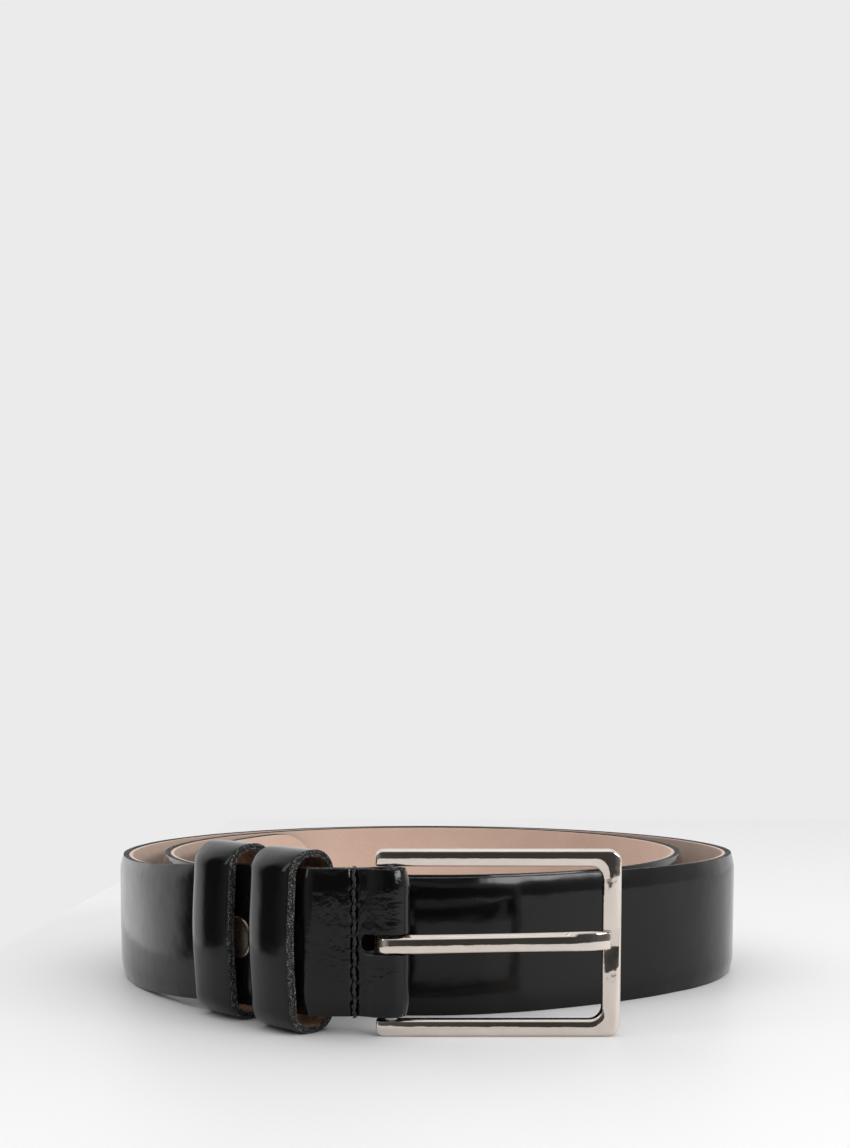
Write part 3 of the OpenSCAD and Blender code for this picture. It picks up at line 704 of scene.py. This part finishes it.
def buildFrame():
    b = buckle
    left, right = barX - b["inset"], barX - b["inset"] + b["length"]
    farX = right - b["farBar"]
    bm = uprightBlock(left, right, b["thick"], 0, b["height"])
    roundCorners(bm, True, b["outerRound"], 8)
    roundCorners(bm, False, b["endRound"], 5)
    window = uprightBlock(left - 10, farX, 20, b["arm"], b["height"] - b["arm"])
    roundCorners(window, True, b["innerRound"], 8)
    bm = cutAway(bm, window)
    bmesh.ops.remove_doubles(bm, verts=bm.verts[:], dist=0.001)
    bmesh.ops.dissolve_limit(bm, angle_limit=0.01, verts=bm.verts[:], edges=bm.edges[:])
    # the front is two facets that meet in a low ridge; every arris is eased
    front = [face for face in bm.faces if face.normal.y < -0.99]
    for face in front:
        for vert in face.verts:
            vert.co.y += b["ridge"]
    bmesh.ops.inset_region(bm, faces=front, thickness=b["arm"] / 2 - b["ridgeShort"], use_even_offset=True)
    for face in front:
        for vert in face.verts:
            vert.co.y -= b["ridge"]
    ridges = [e for e in bm.edges if 0.05 < e.calc_face_angle(0) < 0.5
              and all(v.co.y < barY for v in e.verts) and any(face in front for face in e.link_faces)]
    bmesh.ops.bevel(bm, geom=ridges, offset=b["ridgeRound"], segments=3, profile=0.5, affect="EDGES",
                    material=-1, clamp_overlap=True)
    arrises = [e for e in bm.edges if len(e.link_faces) == 2 and e.calc_face_angle(0) > 0.9]
    bmesh.ops.bevel(bm, geom=arrises, offset=b["arris"], segments=4, profile=0.5, affect="EDGES",
                    material=-1, clamp_overlap=True)
    scoop = bmesh.new()
    radius = (b["notchHeight"] ** 2 / 4 + b["notchDepth"] ** 2) / (2 * b["notchDepth"])
    deep = barY - b["thick"] / 2 + b["notchDepth"] - radius
    where = Matrix.Translation((farX + b["notchIn"], deep, b["height"] / 2 + b["notchUp"]))
    bmesh.ops.create_cone(scoop, cap_ends=True, segments=128, radius1=radius, radius2=radius,
                          depth=b["notchWidth"], matrix=where @ Matrix.Rotation(math.pi / 2, 4, "Y"))
    bm = cutAway(bm, scoop)
    for vert in bm.verts:
        vert.co *= mm
    bmesh.ops.recalc_face_normals(bm, faces=bm.faces[:])
    piece = keepPiece("buckleFrame", bm, [nickel], 50)
    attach(piece, "buckle")
    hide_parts("buckle_frame")
    print("buckle frame cast")


# the prong: a loop round the bar and a shank over the far bar
prong = {
    "bore": 1.75, "thick": 2.3, "height": 4.4, "rise": 0.9, "riseOver": 52,
    "facet": 1.1, "eased": 0.45, "pointEased": 0.4,
    "loopSteps": 26, "loopStep": -11,       # degrees
    # distance from the bar, front face, back face, half height
    "shank": [(6, 4.0, 1.72, 2.15), (18, 3.9, 1.62, 2.1), (30, 3.85, 1.54, 2.1), (40, 3.78, 1.47, 2.15),
              (44, 3.74, 1.44, 2.2), (47.5, 3.5, 1.42, 2.2), (50.5, 3.0, 1.41, 2.1),
              (51.6, 2.75, 1.4, 1.95)],
}


def buildProng():
    p = prong
    bm = bmesh.new()
    outer = p["bore"] + p["thick"]
    midZ = buckle["height"] / 2
    bmesh.ops.create_grid(bm, x_segments=1, y_segments=1, size=0.5,
                          matrix=Matrix.Rotation(math.pi / 2, 4, "Y"))
    corners = bm.verts[:]
    for vert in corners:
        vert.co = (0, -(p["bore"] + outer) / 2 + vert.co.y * p["thick"], vert.co.z * p["height"])
    # the upper front corner is a broad facet, the other three are just eased
    others = [v for v in corners if v.co.y > -(p["bore"] + outer) / 2 or v.co.z < 0]
    bmesh.ops.bevel(bm, geom=others, offset=p["eased"], segments=3, profile=0.5, affect="VERTICES",
                    material=-1)
    upper = [v for v in bm.verts if v.co.y < -outer + 0.01 and v.co.z > p["height"] / 2 - 0.01]
    bmesh.ops.bevel(bm, geom=upper, offset=p["facet"], segments=2, profile=0.5, affect="VERTICES",
                    material=-1)
    bm.faces.ensure_lookup_table()
    section = bm.faces[0]

    def grow(face):
        grown = bmesh.ops.extrude_face_region(bm, geom=[face])["geom"]
        return [item for item in grown if isinstance(item, bmesh.types.BMFace)][0]

    faceNow = grow(section)
    frontY, backY, halfZ, risen = outer, p["bore"], p["height"] / 2, 0.0
    for distance, front, back, half in p["shank"]:
        climb = p["rise"] * distance / p["riseOver"]
        for vert in faceNow.verts:
            t = (-vert.co.y - backY) / (frontY - backY)
            vert.co = (distance, -(back + t * (front - back)), (vert.co.z - risen) / halfZ * half + climb)
        frontY, backY, halfZ, risen = front, back, half, climb
        if distance != p["shank"][-1][0]:
            faceNow = grow(faceNow)
    ringEnd = section
    stepTurn = Matrix.Rotation(math.radians(p["loopStep"]), 3, "Z")
    for step in range(p["loopSteps"]):
        ringEnd = grow(ringEnd)
        bmesh.ops.rotate(bm, verts=ringEnd.verts[:], cent=(0, 0, 0), matrix=stepTurn)
    bmesh.ops.bevel(bm, geom=list(faceNow.edges), offset=p["pointEased"], segments=3, profile=0.5,
                    affect="EDGES", material=-1, clamp_overlap=True)
    bmesh.ops.remove_doubles(bm, verts=bm.verts[:], dist=0.0005)
    bmesh.ops.recalc_face_normals(bm, faces=bm.faces[:])
    for vert in bm.verts:
        vert.co = ((vert.co.x + barX) * mm, (vert.co.y + barY) * mm, (vert.co.z + midZ) * mm)
    piece = keepPiece("prong", bm, [nickel], 28)
    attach(piece, "prong")
    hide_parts("prong")
    print("prong shaped")


# the snap's cap between the keepers
stud = {
    "at": 24.0,
    # radius and height of its turned profile: a flat dome in a rolled rim
    "profile": [(0, 0.5), (1.4, 0.47), (2.8, 0.38), (4.0, 0.27), (4.5, 0.24), (4.62, 0.3), (4.8, 0.36),
                (5.02, 0.33), (5.16, 0.2), (5.2, 0.05), (5.15, -0.05), (0, -0.05)],
}


def buildStud():
    x, y = strapPoint(runStart + stud["at"], outFace)
    outX, outY = strapPoint(runStart + stud["at"], outFace + 1)
    outward = Vector((outX - x, outY - y, 0)).normalized()
    low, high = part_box("stud_cap")
    z = (low[2] + high[2]) / 2 / mm
    bm = bmesh.new()
    verts = [bm.verts.new((r, 0, h)) for r, h in stud["profile"]]
    edges = [bm.edges.new(pair) for pair in zip(verts, verts[1:])]
    bmesh.ops.spin(bm, geom=verts + edges, cent=(0, 0, 0), axis=(0, 0, 1), angle=2 * math.pi, steps=72,
                   use_merge=True)
    bmesh.ops.remove_doubles(bm, verts=bm.verts[:], dist=0.0005)
    bmesh.ops.recalc_face_normals(bm, faces=bm.faces[:])
    turn = outward.to_track_quat("Z", "Y").to_matrix().to_4x4()
    where = Matrix.Diagonal((mm, mm, mm, 1)) @ Matrix.Translation((x, y, z)) @ turn
    bmesh.ops.transform(bm, matrix=where, verts=bm.verts[:])
    piece = keepPiece("studCap", bm, [darkNickel], 60)
    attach(piece, "strap")
    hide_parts("stud_cap")
    print("stud cap set")


# the two keepers: padded leather loops round the strap
keeper = {
    "width": 15.0, "shell": 1.0, "lining": 0.7, "crown": 1.5, "height": 44.0, "front": 5.2, "back": -8.4,
    "round": 6.0, "joint": 0.4, "bow": 0.8,
    "padReach": 7.0, "paintedShadeInset": 2.0,       # where the padding fades past the corners, and where the painted shade on the lining's front stops short of them
    # title, place along the run and seed of the leather's swells
    "pair": {"keeper_near": ("keeperNear", 0.5, 3.0), "keeper_far": ("keeperFar", 23.4, 11.0)},
}


def keeperLoop(margin):
    # closed route of one face of the keeper, in d and z, from its joint at the back
    k = keeper
    r = k["round"] - margin
    low, high, back, front = margin, k["height"] - margin, k["back"] + margin, k["front"] - margin
    halfBack = (high - low) / 2 - r
    across, up = front - back - 2 * r, high - low - 2 * r
    quarter = r * math.pi / 2
    return layRoute(back, k["height"] / 2, -math.pi / 2, [
        (halfBack, 0), (quarter, -r), (across, 0), (quarter, -r), (up, 0), (quarter, -r), (across, 0),
        (quarter, -r), (halfBack, 0)])


def keeperPlace(u, outward, laid, starts):
    x, z, heading = walk(laid[bisect_right(starts, u) - 1], u)
    return x + outward * math.sin(heading), z - outward * math.cos(heading)


def buildKeeper(name):
    k = keeper
    title, at, seed = k["pair"][name]
    runX, runY, heading = walk(frontRoute[5], runStart + at)
    along = Vector((math.cos(heading), math.sin(heading), 0))
    outward = Vector((-math.sin(heading), math.cos(heading), 0))
    laid, total = keeperLoop(k["shell"])
    starts = [stretch[0] for stretch in laid]
    frontStart, frontStop = laid[4][0], laid[5][0]

    def crown(u, v):
        # the padded face swells between its rims
        dome = max(1 - (v / k["width"] * 2 - 1) ** 2, 0) ** 0.65
        reach = k["padReach"]
        into, outOf = (u - frontStart + reach) / reach, (frontStop + reach - u) / reach
        inFront = min(max(into, 0), 1) * min(max(outOf, 0), 1)
        inFront = inFront * inFront * (3 - 2 * inFront)
        return k["crown"] * (0.02 + 0.98 * inFront) * dome

    def bow(u):
        # the loop's front bulges over its whole height
        t = min(max((u - frontStart) / (frontStop - frontStart), 0), 1)
        return k["bow"] * math.sin(math.pi * t) ** 1.3

    def skin(u, v):
        # the leather's own small swells, none at its edges
        swell = noise.noise(Vector((u * 0.1, v * 0.15, seed)))
        return k["shell"] + crown(u, v) + 0.06 * swell * min(1, v, k["width"] - v)

    def layer(outer, inner, materials, pieceName, rimRound, withPaintedShade=False):
        us = [k["joint"] / 2 + (total - k["joint"]) * i / 150 for i in range(151)]
        vs = [0, 0.35, 0.8, 1.4, 2.2, 3.3, 4.6, 6.0, 7.5, 9.0, 10.4, 11.7, 12.8, 13.6, 14.2, 14.65, 15.0]
        bm = flatGrid(us, vs)
        grown = bmesh.ops.extrude_face_region(bm, geom=bm.faces[:])["geom"]
        innerVerts = {item for item in grown if isinstance(item, bmesh.types.BMVert)}
        for vert in bm.verts:
            u, v = vert.co.x, vert.co.z
            vert.co.y = inner(u, v) if vert in innerVerts else outer(u, v)
        bm.normal_update()
        bmesh.ops.recalc_face_normals(bm, faces=bm.faces[:])
        rims = [edge for edge in bm.edges if edge.calc_face_angle(0) > 1.0]
        bmesh.ops.bevel(bm, geom=rims, offset=rimRound, segments=3, profile=0.5, affect="EDGES",
                        material=-1, clamp_overlap=True)
        for face in bm.faces:
            # ink covers the cut edges; the lining's front stretch, in the strap's shadow, takes the same dark
            # ink as painted shade
            u, v = face.calc_center_median().x, face.calc_center_median().z
            onRim = v < 0.3 or v > k["width"] - 0.3 or abs(face.normal.y) < 0.6
            # painted shade: the dark edge ink over the lining's front stretch, where the strap shades it
            paintedShadeFront = withPaintedShade and frontStart + k["paintedShadeInset"] < u < frontStop - k["paintedShadeInset"]
            face.material_index = 1 if onRim or paintedShadeFront else 0
        layFlatUv(bm)
        for vert in bm.verts:
            u, t, v = vert.co
            d, z = keeperPlace(u, t + bow(u), laid, starts)
            spot = Vector((runX, runY, 0)) + along * v + outward * d
            vert.co = (spot.x * mm, spot.y * mm, z * mm)
        bmesh.ops.recalc_face_normals(bm, faces=bm.faces[:])
        piece = keepPiece(pieceName, bm, materials, 45)
        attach(piece, name)
        return piece

    shell = layer(skin, lambda u, v: 0.03 + 0.9 * crown(u, v), [glazed, edgeInkGlintsShade], title + "Shell", 0.3)
    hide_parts(name + "_shell")
    # the lining's front stretch is inked dark as painted shade
    inside = layer(lambda u, v: 0.0, lambda u, v: -k["lining"], [raw, edgeInkGlintsShade], title + "Lining", 0.15,
                   withPaintedShade=True)
    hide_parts(name + "_lining")


buildRoom()
buildStrap()
buildStitches()
buildFrame()
buildProng()
buildStud()
for name in keeper["pair"]:
    buildKeeper(name)
print("keepers rolled")

# CAD pieces that stay as they are
for node, material in {
    "buckle_bar": steel, "stud_socket": darkNickel, "stud_ball": darkNickel, "stud_post": darkNickel,
    "keeper_near_pad": felt, "keeper_far_pad": felt,
    "keeper_near_staple": steel, "keeper_far_staple": steel,
}.items():
    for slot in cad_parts[node].material_slots:
        slot.material = material
